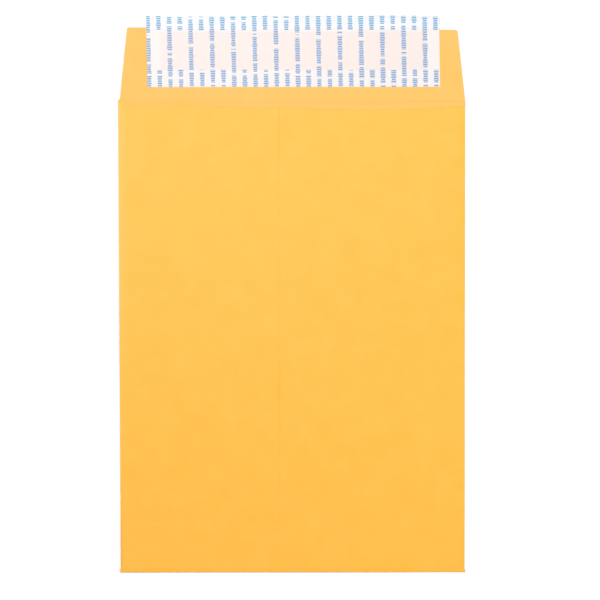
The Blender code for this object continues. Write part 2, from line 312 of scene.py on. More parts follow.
# %% Cut columns, closer together at the ramps, the seam and the folds
CELL = 4.5 * MM
ROLLED = 1.2 * MM
FOLD_COLUMN = 2.6 * MM


def steps(low, high, length):
    """Places from low to high, both ends included, about a length apart."""
    count = max(1, round((high - low) / length))
    return [low + (high - low) * k / count for k in range(count + 1)]


COLUMNS = [
    *steps(-SIDE_CREASE, SEAM - RAMP, CELL)[1:],
    *steps(SEAM - RAMP, SEAM, RAMP / RAMP_STEPS)[1:],
    *(SEAM - ROLLED, SEAM + ROLLED / 2, SEAM + ROLLED),
    *(FOLD_COLUMN - HALF_WIDTH, HALF_WIDTH - FOLD_COLUMN),
    *steps(SEAM, LAP_END, CELL)[1:],
    *steps(LAP_END, LAP_END + RAMP, RAMP / RAMP_STEPS)[1:],
    *steps(LAP_END + RAMP, SIDE_CREASE, CELL)[1:-1],
]
cut(sheet, 0, COLUMNS)
print(len(COLUMNS), "columns")

# %% Shape the throat
THROAT_SHOULDER = 1.4 * MM
THROAT_SEAM = 3.8 * MM
THROAT_DIP = 5.5 * MM
SHOULDER_RUN = 7 * MM


def throat_left(x):
    """How far below the crease the left panel's edge lies: down a shoulder, then slowly to the seam."""
    run = x + SIDE_CREASE
    shoulder = CREASE - LEFT_CORNER
    shoulder += (THROAT_SHOULDER - shoulder) * smooth(run / SHOULDER_RUN)
    return shoulder + (THROAT_SEAM - THROAT_SHOULDER) * smooth(run / (SIDE_CREASE + SEAM))


def throat_right(x):
    """The same for the right panel: an arc that dips between the seam and the fold."""
    share = (x - SEAM) / (SIDE_CREASE - SEAM)
    corner = CREASE - RIGHT_CORNER
    chord = THROAT_SEAM + (corner - THROAT_SEAM) * share
    return chord + (THROAT_DIP - (THROAT_SEAM + corner) / 2) * math.sin(math.pi * share)


for x in COLUMNS:
    for corner, below in ((LEFT_CORNER, throat_left(x)), (RIGHT_CORNER, throat_right(x))):
        move(
            sheet,
            lambda place: near(place.x, x) and near(place.y, corner) and place.z > LEFT_BACK - TINY,
            (0, CREASE - below - corner, 0),
        )
print("throat at the seam, mm below the crease:", round(throat_left(SEAM) / MM, 1))

# %% Cut rows, closer together at the crease
CREASE_RUN = 0.8 * MM
ROWS = [
    *steps(BOTTOM_CREASE, BOTTOM_FLAP_TOP, CELL)[1:],
    *steps(BOTTOM_FLAP_TOP, CREASE, CELL)[1:],
    *(CREASE - CREASE_RUN, CREASE + CREASE_RUN, BOTTOM_FLAP_TOP - ROLLED),
    *steps(CREASE, LINER_HIGH.y, CELL)[1:],
]
cut(sheet, 1, ROWS)
bpy.ops.object.mode_set(mode="OBJECT")
print("sheet:", len(sheet.data.polygons), "faces")

# %% [markdown]
# ## Gum, adhesive and liner
#
# The three thin things that the sheet carries are flat layers as well. The gum lines are where the
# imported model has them, between the layers that they join. The liner is a strip of glassine-smooth
# paper whose ends are cut a little aslant. Each could be one face, but it would then stay flat when
# the sheet bends, so all are cut along the sheet's own rows and columns.

# %% The two gum lines
def cells_for(piece, low, high):
    """Cuts a layer along the sheet's own columns and rows."""
    cut(piece, 0, [x for x in COLUMNS if low[0] < x < high[0]])
    cut(piece, 1, [y for y in ROWS if low[1] < y < high[1]])
    bpy.ops.object.mode_set(mode="OBJECT")


seam_gum = flat_layer("centre_seam_gum", SEAM_GUM_LOW, SEAM_GUM_HIGH, LEFT_BACK + LAYER / 2)
cells_for(seam_gum, SEAM_GUM_LOW, SEAM_GUM_HIGH)
flap_gum = flat_layer("bottom_flap_gum", FLAP_GUM_LOW, FLAP_GUM_HIGH, BOTTOM_FLAP - LAYER / 2)
cells_for(flap_gum, FLAP_GUM_LOW, FLAP_GUM_HIGH)

# %% The adhesive band, and the liner over it
ADHESIVE = 0.10 * MM
LINER_PAPER = 0.07 * MM
AIR = 0.04 * MM
BAND = PAPER + AIR + ADHESIVE / 2
LINER = BAND + ADHESIVE / 2 + AIR + LINER_PAPER / 2
LINER_SLANT = 0.65 * MM
LINER_OVERCUT = 0.3 * MM
band = flat_layer("adhesive_band", BAND_LOW, BAND_HIGH, BAND)
cells_for(band, BAND_LOW, BAND_HIGH)
strip_low = (LINER_LOW.x + LINER_SLANT, LINER_LOW.y - LINER_OVERCUT)
liner = flat_layer("printed_release_liner", strip_low, LINER_HIGH, LINER)
move(liner, lambda place: near(place.y, LINER_HIGH.y), (-LINER_SLANT, 0, 0))
cells_for(liner, strip_low, LINER_HIGH)

# %% [markdown]
# ## How the paper lies
#
# Now the flat stack gets the shape of paper that has been folded. The springy back stands off the
# front, most of all just inside the side folds. The layers beside the lap settle onto each other.
# The seam lies closed, but for two stretches where its free edge has sprung up a little, and the
# open flap rises from its crease. A cloth simulation could find such a shape, but not reliably to a
# tenth of a millimetre. So each of these is a weight, painted over the corners as one would with a
# brush, and a Displace modifier that moves the mesh by that weight. All pieces get the same weights
# for the same place, so they stay in contact.

# %% Paint a weight and move by it
def modify(piece, kind, title, **settings):
    """Adds a modifier with its settings and applies it."""
    activate(piece)
    modifier = piece.modifiers.new(title, kind)
    for name, value in settings.items():
        setattr(modifier, name, value)
    bpy.ops.object.modifier_apply(modifier=modifier.name)


def settle(piece, shifts):
    """Paints each shift's weight over the piece as it lies flat, and then moves it by all of them."""
    for title, _, _, weight in shifts:
        group = piece.vertex_groups.new(name=title)
        for corner in piece.data.vertices:
            group.add([corner.index], weight(*corner.co), "REPLACE")
    for title, axis, distance, _ in shifts:
        modify(piece, "DISPLACE", title, direction=axis, strength=distance, mid_level=0, vertex_group=title)
    print(piece.name, "moved by", len(shifts), "weights")


# %% Weights for the pocket's back
SPRING_RUN = 90 * MM
SWELL_RUN = 4 * MM
SWELL_FALL = 4
SETTLE_RUN = 12 * MM


def above_front(z):
    return min(max((z - FRONT) / (LEFT_BACK - FRONT), 0), 1)


def in_bottom_flap(z):
    return z > RIGHT_BACK + LAYER / 4


def pocket_spring(x, y, z):
    across = math.cos(math.pi * x / (2 * HALF_WIDTH)) ** 2
    return above_front(z) * across * smooth((y - BOTTOM) / SPRING_RUN) * (y < CREASE + CREASE_RUN)


def fold_swell(x, y, z):
    inside = (SIDE_CREASE - abs(x)) / SWELL_RUN
    hump = smooth(inside) * (1 - smooth((inside - 1) / SWELL_FALL))
    return above_front(z) * hump * smooth((y - BOTTOM_FLAP_TOP) / SPRING_RUN) * (y < CREASE)


def beside_lap(x, y, z):
    over_lap = smooth((x - SEAM) / RAMP + 1) * (1 - smooth((x - LAP_END) / RAMP))
    return in_bottom_flap(z) * (1 - over_lap) * smooth((y - BOTTOM_CREASE) / SETTLE_RUN)


print("spring in mid-pocket:", round(pocket_spring(0, 0, LEFT_BACK), 2))

# %% Weights for the seam
SEAM_SPRUNG = 140 * MM
SEAM_PITCH = 175 * MM
SPRUNG_SHARPNESS = 8


def closed_seam(x, y, z):
    in_right_panel = z > LEFT_BACK + LAYER / 2 and not in_bottom_flap(z)
    return in_right_panel * (1 - smooth((x - SEAM) / ROLLED))


def free_seam(x, y, z):
    lift = math.cos(math.pi * (y - SEAM_SPRUNG) / SEAM_PITCH) ** SPRUNG_SHARPNESS
    edge = 1 - smooth((x - SEAM) / (ROLLED / 2))
    return closed_seam(x, y, z) * edge * lift * smooth((y - BOTTOM_FLAP_TOP) / CELL)


def seam_imprint(x, y, z):
    in_back = above_front(z) * (not in_bottom_flap(z))
    return in_back * (1 - smooth(abs(x - SEAM) / ROLLED))


print("seam sprung at, mm:", [round(y / MM) for y in (SEAM_SPRUNG, SEAM_SPRUNG - SEAM_PITCH)])

# %% Weights for the bottom flap
FREE_SIDE = 3 * MM
LIP_RUN = 6 * MM


def gummed_flap(x, y, z):
    return in_bottom_flap(z) * smooth((y - NOTCH) / LIP_RUN)


def flap_rolled_down(x, y, z):
    return in_bottom_flap(z) * smooth(1 - (BOTTOM_FLAP_TOP - y) / ROLLED)


def flap_sides(x, y, z):
    free = smooth(1 - (HALF_WIDTH - abs(x)) / FREE_SIDE)
    return in_bottom_flap(z) * free * smooth((y - NOTCH) / ROLLED)


print("flap's edge pressed down over", round(ROLLED / MM, 1), "mm")

# %% Weights for the seal flap, its crease and the left fold
LEAN_RUN = 20 * MM
LIPS_LOW = 0.4
LIPS_WIDEN = (0.48, 0.4)


def opened_flap(x, y, z):
    return max((y - CREASE) / (LINER_HIGH.y - CREASE), 0)


def crease_lips(x, y, z):
    """A lip on each side of the crease, lower in the middle, where the stack was pressed hardest."""
    start, run = LIPS_WIDEN
    pressed = LIPS_LOW + (1 - LIPS_LOW) * smooth((abs(x) / HALF_WIDTH - start) / run)
    off = abs(y - CREASE)
    return pressed * (z < LEFT_BACK) * smooth(off / CREASE_RUN) * (1 - smooth(off / LIP_RUN))


def out_of_square(x, y, z):
    at_left_fold = 1 - smooth((x + HALF_WIDTH) / LEAN_RUN)
    return at_left_fold * max((CREASE - y) / (CREASE - BOTTOM), 0)


print("lean at the left bottom corner:", round(out_of_square(-HALF_WIDTH, BOTTOM, FRONT), 2))

# %% Let the stack spring and settle
SHIFTS = [
    ("pocket spring", "Z", 0.15 * MM, pocket_spring),
    ("swell inside the side folds", "Z", 0.2 * MM, fold_swell),
    ("flap settled beside the lap", "Z", -LAYER, beside_lap),
    ("closed edge of the seam", "Z", -0.04 * MM, closed_seam),
    ("free edge of the seam", "Z", 0.16 * MM, free_seam),
    ("imprint of the seam", "Z", -0.05 * MM, seam_imprint),
    ("gum under the bottom flap", "Z", 0.06 * MM, gummed_flap),
    ("bottom flap rolled down", "Z", -0.10 * MM, flap_rolled_down),
    ("free sides of the bottom flap", "Z", 0.14 * MM, flap_sides),
    ("opened flap", "Z", 1.1 * MM, opened_flap),
    ("lips of the crease", "Z", 0.13 * MM, crease_lips),
    ("left fold out of square", "X", 0.75 * MM, out_of_square),
]
for piece in (sheet, seam_gum, flap_gum, band, liner):
    settle(piece, SHIFTS)
print("top of the sheet, mm:", round(max(corner.co.z for corner in sheet.data.vertices) / MM, 2))


# %% The liner curls up past the flap and lies down below the band
def curl(x, y, z):
    return max((y - BAND_HIGH.y) / (LINER_HIGH.y - BAND_HIGH.y), 0) ** 2


def laid_down(x, y, z):
    return smooth((BAND_LOW.y - y) / (BAND_LOW.y - LINER_LOW.y))


settle(liner, [("reel curl", "Z", 0.6 * MM, curl), ("laid down", "Z", -0.13 * MM, laid_down)])

# %% [markdown]
# ## Thickness and cockle
#
# Solidify gives the paper its thickness and a second face. The second face takes the second
# material slot, which is how the sheet gets an inner and an outer side. Then a cloud texture a
# few centimetres wide lifts everything by up to half a millimetre: paper takes up moisture
# unevenly and never lies quite flat. Bump in the material could shade such waves, but it would
# leave the edges straight. The texture is read by place, so the layers rise and fall together.

# %% Thickness, cockle and soft shading
COCKLE = 0.7 * MM
COCKLE_WIDTH = 85 * MM
COCKLE_LOWEST = 0.14
SMOOTH_UP_TO = math.radians(40)
cockle = bpy.data.textures.new("cockle", "CLOUDS")
cockle.noise_scale = COCKLE_WIDTH
cockle.noise_depth = 1


def look_up(piece):
    """Makes all faces agree, with those of the lowest layer looking up, into the envelope."""
    activate(piece)
    bpy.ops.object.mode_set(mode="EDIT")
    bpy.ops.mesh.select_all(action="SELECT")
    bpy.ops.mesh.remove_doubles(threshold=TINY)
    bpy.ops.mesh.normals_make_consistent(inside=False)
    bpy.ops.object.mode_set(mode="OBJECT")
    farthest = max(piece.data.polygons, key=lambda face: face.center.y)
    if farthest.normal.z < 0:
        bpy.ops.object.mode_set(mode="EDIT")
        bpy.ops.mesh.flip_normals()
        bpy.ops.object.mode_set(mode="OBJECT")


def thicken(piece, thickness):
    look_up(piece)
    modify(piece, "SOLIDIFY", "thickness", thickness=thickness, offset=0, use_even_offset=True,
           material_offset=1, material_offset_rim=1)
    modify(piece, "DISPLACE", "cockle", texture=cockle, texture_coords="LOCAL", direction="Z",
           strength=COCKLE, mid_level=COCKLE_LOWEST)
    bpy.ops.object.shade_smooth_by_angle(angle=SMOOTH_UP_TO)
    highest = max(corner.co.z for corner in piece.data.vertices)
    print(piece.name, len(piece.data.polygons), "faces, up to", round(highest / MM, 2), "mm high")


print("cockle waves, mm:", round(COCKLE_WIDTH / MM), "wide")

# %% [markdown]
# ## Paper in nodes
#
# Kraft paper is made of long, unbleached pine fibres, here dyed golden yellow through and through.
# The outer side was pressed against a polished drying cylinder, so it is denser, deeper in colour
# and has a faint sheen. The inner side is rougher and paler. Both show the cloudy formation of the
# pulp, in patches a centimetre or two across, and single fibres about two millimetres long. Real
# fibres are a thirtieth of a millimetre wide. They are drawn five times as wide, because otherwise
# no render of the whole envelope would show them. A scanned texture would repeat and blur. Noise
# read by place has its sizes in real millimetres, and runs on unbroken over the folds.

# %% Colours, and one helper for nodes
FACTOR, FIRST, SECOND, MIXED = 0, 6, 7, 2
VALUE, FROM_MIN, FROM_MAX, TO_MIN, TO_MAX = range(5)


def colour(srgb):
    """The linear colour of an sRGB hex colour."""
    parts = [int(srgb[k : k + 2], 16) / 255 for k in (0, 2, 4)]
    return (*(p / 12.92 if p <= 0.04045 else ((p + 0.055) / 1.055) ** 2.4 for p in parts), 1)


def node(tree, kind, inputs, **settings):
    """Adds a node with its settings. An input is a value, a socket, or a node's first output."""
    made = tree.nodes.new(kind)
    for name, value in settings.items():
        setattr(made, name, value)
    for name, value in inputs.items():
        if isinstance(value, bpy.types.Node):
            value = value.outputs[0]
        if isinstance(value, bpy.types.NodeSocket):
            tree.links.new(value, made.inputs[name])
        else:
            made.inputs[name].default_value = value
    return made


print("golden kraft, linear:", [round(part, 3) for part in colour("FDBC3E")])


# %% Start and finish a material
def new_material(name, roughness):
    """A material, its node tree and its shader, with the roughness on the shader's own socket."""
    material = bpy.data.materials.new(name)
    material.use_nodes = True
    shader = material.node_tree.nodes["Principled BSDF"]
    shader.inputs["Roughness"].default_value = roughness
    return material, material.node_tree, shader


def finish_material(material, tone, height, relief, distance):
    """Gives the shader its colour, and a bump of a real height."""
    tree = material.node_tree
    shader = tree.nodes["Principled BSDF"]
    surface = {"Height": height, "Strength": relief, "Distance": distance}
    bump = node(tree, "ShaderNodeBump", surface)
    tree.links.new(tone, shader.inputs["Base Color"])
    tree.links.new(bump.outputs[0], shader.inputs["Normal"])
    print(material.name + ":", len(tree.nodes), "nodes")


print("materials in the file:", len(bpy.data.materials))

# %% Fibres
FIBRE_LENGTH = 2.2 * MM
FIBRE_WIDTH = 0.16 * MM
FIBRE_TURNS = (8, 52, 118)
FIBRE_BEND = 0.4
FIBRE_CUT_OFF = (0.6, 0.8)


def fibres(tree, place):
    """Thin streaks that lie in a few directions: noise, drawn out along each and cut off low."""
    found = 0.0
    for turn in FIBRE_TURNS:
        stretch = (1 / FIBRE_LENGTH, 1 / FIBRE_WIDTH, 1 / FIBRE_LENGTH)
        turned = {"Vector": place, "Rotation": (0, 0, math.radians(turn)), "Scale": stretch}
        drawn_out = node(tree, "ShaderNodeMapping", turned)
        noise = {"Vector": drawn_out, "Scale": 1.0, "Detail": 1.0, "Distortion": FIBRE_BEND}
        streaks = node(tree, "ShaderNodeTexNoise", noise)
        cut_off = {VALUE: streaks, FROM_MIN: FIBRE_CUT_OFF[0], FROM_MAX: FIBRE_CUT_OFF[1]}
        lines = node(tree, "ShaderNodeMapRange", cut_off)
        found = node(tree, "ShaderNodeMath", {0: found, 1: lines}, operation="MAXIMUM")
    return found


print("fibres, mm:", round(FIBRE_LENGTH / MM, 2), "x", round(FIBRE_WIDTH / MM, 2))

# %% Painted sheen along the left fold, and painted shade at the crease
SHEEN_STRIP_RUN = 7 * MM
SHEEN_STRIP_FULL = 60 * MM
CREASE_SHADE = 0.24
CREASE_SHADE_RUN = 4 * MM
LINE_SOFT, LINE_SHARP = 0.8 * MM, 0.2 * MM
LINE_FAINT_TO, LINE_FULL_FROM = 60 * MM, 90 * MM
LINE_FAINT, LINE_FULL = 0.1, 0.4


def painted_sheen_strip(tree, place):
    """1 along the left fold near the mouth, fading inwards: a strip of painted sheen that lightens the
    kraft.
    """
    parts = node(tree, "ShaderNodeSeparateXYZ", {0: place})
    across = {VALUE: parts.outputs["X"], FROM_MIN: SHEEN_STRIP_RUN - HALF_WIDTH, FROM_MAX: -HALF_WIDTH}
    side = node(tree, "ShaderNodeMapRange", across, interpolation_type="SMOOTHSTEP")
    along = {VALUE: parts.outputs["Y"], FROM_MIN: BOTTOM_FLAP_TOP, FROM_MAX: SHEEN_STRIP_FULL}
    share = node(tree, "ShaderNodeMapRange", along)
    return node(tree, "ShaderNodeMath", {0: side, 1: share}, operation="MULTIPLY")


def painted_crease_shade(tree, place):
    """High on the flap's crease, a line of painted shade, with a wide faint band of painted shade round it.
    """
    parts = node(tree, "ShaderNodeSeparateXYZ", {0: place})
    off = node(tree, "ShaderNodeMath", {0: parts.outputs["Y"], 1: CREASE}, operation="SUBTRACT")
    off = node(tree, "ShaderNodeMath", {0: off}, operation="ABSOLUTE")
    # Painted shade: a faint band either side of the crease, and a darker line on it, strongest towards the
    # right.
    fading = {VALUE: off, FROM_MIN: CREASE_SHADE_RUN, FROM_MAX: 0, TO_MIN: 0, TO_MAX: CREASE_SHADE}
    shade_band = node(tree, "ShaderNodeMapRange", fading, interpolation_type="SMOOTHSTEP")
    line = node(tree, "ShaderNodeMapRange", {VALUE: off, FROM_MIN: LINE_SOFT, FROM_MAX: LINE_SHARP})
    ends = {FROM_MIN: LINE_FAINT_TO, FROM_MAX: LINE_FULL_FROM, TO_MIN: LINE_FAINT, TO_MAX: LINE_FULL}
    outer = node(tree, "ShaderNodeMapRange", {VALUE: parts.outputs["X"], **ends})
    line = node(tree, "ShaderNodeMath", {0: line, 1: outer}, operation="MULTIPLY")
    return node(tree, "ShaderNodeMath", {0: shade_band, 1: line}, operation="ADD", use_clamp=True)


print("bruise at the crease, mm:", round(2 * CREASE_SHADE_RUN / MM), "wide")

# %% Golden kraft
FORMATION = 16 * MM
FORMATION_SPREAD = (0.25, 0.75)
FIBRE_SHARE = 0.35
FIBRE_HEIGHT = 0.04 * MM


def kraft(name, light, deep, fibre_and_sheen_tone, crease_shade_tone, roughness, relief, painted_sheen):
    """Dyed kraft: formation clouds between two tones, pale fibres on top, a painted sheen along the left
    fold and painted shade at the crease, and the relief of clouds and fibres.
    """
    material, tree, _ = new_material(name, roughness)
    place = node(tree, "ShaderNodeTexCoord", {}).outputs["Object"]
    pulp = {"Vector": place, "Scale": 1 / FORMATION, "Detail": 4.0, "Roughness": 0.6}
    clouds = node(tree, "ShaderNodeTexNoise", pulp)
    low, high = FORMATION_SPREAD
    spread = node(tree, "ShaderNodeMapRange", {VALUE: clouds, FROM_MIN: low, FROM_MAX: high})
    single = fibres(tree, place)
    share = node(tree, "ShaderNodeMath", {0: single, 1: FIBRE_SHARE}, operation="MULTIPLY")
    sheen_share = node(tree, "ShaderNodeMath", {0: painted_sheen_strip(tree, place), 1: painted_sheen}, operation="MULTIPLY")
    # The pale fibre colour also paints the sheen along the left fold. The last coat is painted shade at the
    # crease.
    coats = [(spread, light), (share, fibre_and_sheen_tone), (sheen_share, fibre_and_sheen_tone), (painted_crease_shade(tree, place), crease_shade_tone)]
    tone = colour(deep)
    for amount, shade in coats:
        over = {FACTOR: amount, FIRST: tone, SECOND: colour(shade)}
        tone = node(tree, "ShaderNodeMix", over, data_type="RGBA").outputs[MIXED]
    height = node(tree, "ShaderNodeMath", {0: single, 1: clouds}, operation="ADD")
    finish_material(material, tone, height, relief, FIBRE_HEIGHT)
    return material


# Machine-glazed kraft: pressed flat and dense by the cylinder, so it is deep in tone and a little sleek. A
# painted sheen lightens it along the left fold.
outer_kraft = kraft(
    "machine-glazed kraft, outer side",
    light="FDBC3E", deep="FDB62D", fibre_and_sheen_tone="FFCB66", crease_shade_tone="FDB938",
    roughness=0.5, relief=0.25, painted_sheen=0.42,
)
# The inner side dried against a felt: rough, quite matt, and paler. It gets no painted sheen along the left
# fold.
inner_kraft = kraft(
    "dyed kraft, inner side",
    light="FDC060", deep="FCBA50", fibre_and_sheen_tone="FFCF80", crease_shade_tone="F9B24B",
    roughness=0.6, relief=0.35, painted_sheen=0.0,
)

# %% [markdown]
# ## The liner and its print
#
# Release liner is bleached paper, calendered until it is almost glassy and coated with silicone.
# It is thin, so it looks warmer where kraft lies under it, and warmest where the adhesive wets it
# from below. One blue ink runs all over it: short bars, in columns across the strip, in groups of
# uneven length. The bars could be an image, or thin meshes laid on the paper. Worked out in nodes
# they stay sharp from close by, lie on the paper itself, and their pitch is a real size.

# %% Blue bars in columns
COLUMN_PITCH = 14 * MM
FIRST_COLUMN = -94.1 * MM
BAR_PITCH = 1.15 * MM
BAR_SHARE = 0.66
BAR_HALF = 1.7 * MM
SHORTEST_BAR = 0.7
BAR_SEEDS = 37.0
BEATS = ((17.3 * MM, 0.08), (26.9 * MM, 0.05))


def bars(tree, number, off, along, own):
    """1 on the bars of a column: evenly spaced, each of its own length, centred on the column."""
    bar = {0: along, 1: 1 / BAR_PITCH, 2: own}
    bar = node(tree, "ShaderNodeMath", bar, operation="MULTIPLY_ADD")
    within = node(tree, "ShaderNodeMath", {0: bar}, operation="FRACT")
    mask = node(tree, "ShaderNodeMath", {0: within, 1: BAR_SHARE}, operation="LESS_THAN")
    bar_number = node(tree, "ShaderNodeMath", {0: bar}, operation="FLOOR")
    seed = {0: number, 1: BAR_SEEDS, 2: bar_number}
    seed = node(tree, "ShaderNodeMath", seed, operation="MULTIPLY_ADD")
    length = node(tree, "ShaderNodeTexWhiteNoise", {"W": seed}, noise_dimensions="1D")
    longest = BAR_HALF / COLUMN_PITCH
    reach = {VALUE: length, TO_MIN: SHORTEST_BAR * longest, TO_MAX: longest}
    limit = node(tree, "ShaderNodeMapRange", reach)
    narrow = node(tree, "ShaderNodeMath", {0: off, 1: limit}, operation="LESS_THAN")
    return node(tree, "ShaderNodeMath", {0: mask, 1: narrow}, operation="MULTIPLY")


def printed_columns(tree, across, along, shift):
    """Bars along every column. Groups end where one of two slow beats, set off by column, rests."""
    counted = {0: across, 1: 1 / COLUMN_PITCH, 2: shift - FIRST_COLUMN / COLUMN_PITCH}
    count = node(tree, "ShaderNodeMath", counted, operation="MULTIPLY_ADD")
    number = node(tree, "ShaderNodeMath", {0: count}, operation="FLOOR")
    share = node(tree, "ShaderNodeMath", {0: count}, operation="FRACT")
    off = node(tree, "ShaderNodeMath", {0: share, 1: 0.5}, operation="SUBTRACT")
    off = node(tree, "ShaderNodeMath", {0: off}, operation="ABSOLUTE")
    own = node(tree, "ShaderNodeTexWhiteNoise", {"W": number}, noise_dimensions="1D")
    mask = bars(tree, number, off, along, own)
    for beat, rest in BEATS:
        slow = node(tree, "ShaderNodeMath", {0: along, 1: 1 / beat, 2: own}, operation="MULTIPLY_ADD")
        slow = node(tree, "ShaderNodeMath", {0: slow}, operation="FRACT")
        group = node(tree, "ShaderNodeMath", {0: slow, 1: rest}, operation="GREATER_THAN")
        mask = node(tree, "ShaderNodeMath", {0: mask, 1: group}, operation="MULTIPLY")
    return mask


print("columns over the strip:", round((LINER_HIGH.x - LINER_LOW.x) / COLUMN_PITCH))

# %% Long columns, and short ones between them along both edges
COLUMN_LEAN = 0.02
TOP_ROWS = LINER_HIGH.y - 9.3 * MM
LOW_ROWS = LINER_LOW.y + 11 * MM


def ink(tree, x, y):
    """1 where there is ink. The columns lean a little, as the strip ran through the press."""
    middle = (LINER_LOW.y + LINER_HIGH.y) / 2
    lean = {0: y, 1: COLUMN_LEAN, 2: -COLUMN_LEAN * middle}
    lean = node(tree, "ShaderNodeMath", lean, operation="MULTIPLY_ADD")
    across = node(tree, "ShaderNodeMath", {0: x, 1: lean}, operation="ADD")
    long_ones = printed_columns(tree, across, y, 0.5)
    short_ones = printed_columns(tree, across, y, 0.0)
    top = node(tree, "ShaderNodeMath", {0: y, 1: TOP_ROWS}, operation="GREATER_THAN")
    low = node(tree, "ShaderNodeMath", {0: y, 1: LOW_ROWS}, operation="LESS_THAN")
    ends = node(tree, "ShaderNodeMath", {0: top, 1: low}, operation="ADD")
    short_ones = node(tree, "ShaderNodeMath", {0: short_ones, 1: ends}, operation="MULTIPLY")
    return node(tree, "ShaderNodeMath", {0: long_ones, 1: short_ones}, operation="MAXIMUM")


short_runs = (LINER_HIGH.y - TOP_ROWS, LOW_ROWS - LINER_LOW.y)
print("short columns, mm long:", [round(run / MM, 1) for run in short_runs])

# %% Where the liner is backed by kraft, and where the adhesive wets it
BACKED_FROM, BACKED_FULL = FLAP_EDGE - 0.5 * MM, FLAP_EDGE - 1.5 * MM
WET_SOFT_X, WET_SOFT_Y = 0.8 * MM, 0.6 * MM
WET_PATCHES = {FROM_MIN: 0.3, FROM_MAX: 0.6, TO_MIN: 0.7, TO_MAX: 1.0}


def between(tree, value, low, high, soft):
    """1 between two values and 0 outside, with soft edges."""
    up = node(tree, "ShaderNodeMapRange", {VALUE: value, FROM_MIN: low - soft, FROM_MAX: low + soft})
    down = node(tree, "ShaderNodeMapRange", {VALUE: value, FROM_MIN: high + soft, FROM_MAX: high - soft})
    return node(tree, "ShaderNodeMath", {0: up, 1: down}, operation="MULTIPLY")


def wetted(tree, x, y, clouds):
    """1 over the adhesive band, and a little less where the paper doesn't quite touch it."""
    wet_x = between(tree, x, BAND_LOW.x, BAND_HIGH.x, WET_SOFT_X)
    wet_y = between(tree, y, BAND_LOW.y, BAND_HIGH.y, WET_SOFT_Y)
    wet = node(tree, "ShaderNodeMath", {0: wet_x, 1: wet_y}, operation="MULTIPLY")
    patchy = node(tree, "ShaderNodeMapRange", {VALUE: clouds, **WET_PATCHES})
    return node(tree, "ShaderNodeMath", {0: wet, 1: patchy}, operation="MULTIPLY")


print("liner past the flap, mm:", round((LINER_HIGH.y - FLAP_EDGE) / MM, 1))

# %% White release paper
PATCH = 4 * MM
RELEASE_ROUGHNESS = 0.4
RELEASE_RELIEF = 0.2
RELEASE_HEIGHT = 0.01 * MM


def release_paper(name, printed):
    """Bare white past the flap, warmer where kraft shows through it, warmest over the adhesive."""
    material, tree, _ = new_material(name, RELEASE_ROUGHNESS)
    place = node(tree, "ShaderNodeTexCoord", {}).outputs["Object"]
    clouds = node(tree, "ShaderNodeTexNoise", {"Vector": place, "Scale": 1 / PATCH, "Detail": 3.0})
    parts = node(tree, "ShaderNodeSeparateXYZ", {0: place})
    x, y = parts.outputs["X"], parts.outputs["Y"]
    backed = node(tree, "ShaderNodeMapRange", {VALUE: y, FROM_MIN: BACKED_FROM, FROM_MAX: BACKED_FULL})
    coats = [(backed, colour("EBE4E0")), (wetted(tree, x, y, clouds), colour("EBDCD7"))]
    if printed:
        share = node(tree, "ShaderNodeMapRange", {VALUE: y, FROM_MIN: TOP_ROWS, FROM_MAX: LINER_HIGH.y})
        blues = {FACTOR: share, FIRST: colour("5A8EC3"), SECOND: colour("4FA8D0")}
        blue = node(tree, "ShaderNodeMix", blues, data_type="RGBA").outputs[MIXED]
        coats.append((ink(tree, x, y), blue))
    tone = colour("EBEBEC")
    for amount, shade in coats:
        over = {FACTOR: amount, FIRST: tone, SECOND: shade}
        tone = node(tree, "ShaderNodeMix", over, data_type="RGBA").outputs[MIXED]
    finish_material(material, tone, clouds, RELEASE_RELIEF, RELEASE_HEIGHT)
    return material


# Silicone-coated release paper: smooth and cool white, with a soft highlight at low angles.
liner_face = release_paper("silicone-coated release paper, printed face", printed=True)
liner_back = release_paper("silicone-coated release paper, back", printed=False)

# %% [markdown]
# ## Adhesive and gum
#
# The band on the flap is hot-melt adhesive, and the seam and the bottom flap are held by dextrin
# gum. Hardly anything of them shows in the closed envelope, but they show when its layers are taken
# apart, so they get a finish of their own. Both are films that were laid in a stroke, so one
# material with two tones and a low relief serves them, in other colours.

# %% Hot-melt adhesive and dextrin gum
FILM_RELIEF = 0.4
FILM_HEIGHT = 0.03 * MM


def film(name, clear, cloudy, size, roughness):
    """A film whose tone and height vary with the stroke that laid it."""
    material, tree, _ = new_material(name, roughness)
    place = node(tree, "ShaderNodeTexCoord", {}).outputs["Object"]
    strokes = node(tree, "ShaderNodeTexNoise", {"Vector": place, "Scale": 1 / size, "Detail": 3.0})
    tones = {FACTOR: strokes, FIRST: colour(clear), SECOND: colour(cloudy)}
    tone = node(tree, "ShaderNodeMix", tones, data_type="RGBA").outputs[MIXED]
    finish_material(material, tone, strokes, FILM_RELIEF, FILM_HEIGHT)
    return material


# Hot-melt adhesive stays tacky, so it is warm white and shiny.
hot_melt = film("hot-melt adhesive", "F4E6D6", "EFDCC6", 3 * MM, roughness=0.3)
# Dextrin gum is brushed on wet and dries pale tan, streaked and half matt.
dextrin = film("dextrin gum", "E8D9B0", "DCC894", 2 * MM, roughness=0.5)

# %% [markdown]
# ## Put it together
#
# Each piece takes its materials before its thickness, because Solidify hands them on to the second
# face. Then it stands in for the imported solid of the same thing, and rides on the one body.

